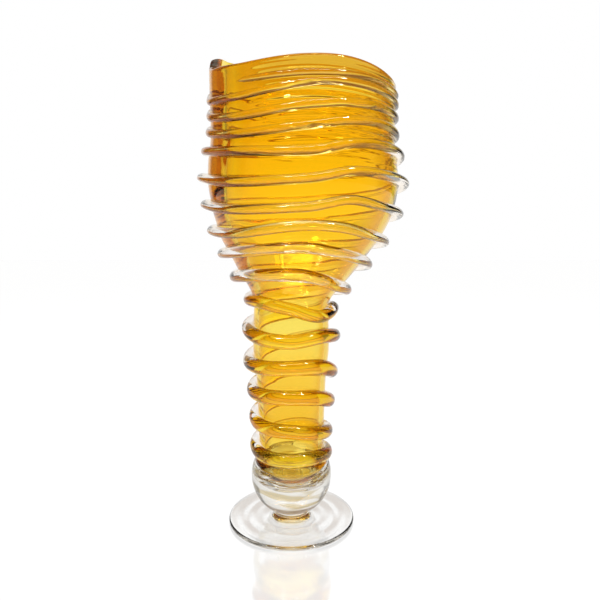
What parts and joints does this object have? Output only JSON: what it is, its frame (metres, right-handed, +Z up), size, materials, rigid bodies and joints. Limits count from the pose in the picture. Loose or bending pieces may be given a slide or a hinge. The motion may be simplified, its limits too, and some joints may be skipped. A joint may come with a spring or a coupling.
{
  "type": "hyacinth forcing vase",
  "caption": "Footed glass vase with a wide wavy-lipped bowl on a long hollow stem, wound with a clear glass thread, on a clear knop and disc foot.",
  "frame": {"origin": "centre of the foot's flat underside, on the axis of the stem", "axes": "+Z up along the stem to the lip; -X towards the lip's ear; -Y towards the viewer of the picture"},
  "size_m": [0.1558, 0.1479, 0.357],
  "materials": {
    "amber_glass": "fire-polished transparent amber glass",
    "clear_glass": "fire-polished clear glass"
  },
  "bodies": {
    "root": {"amber_vessel": "amber_glass", "spiral_trail": "clear_glass", "base_knop": "clear_glass", "merese": "clear_glass", "foot": "clear_glass"}
  },
  "joints": []
}
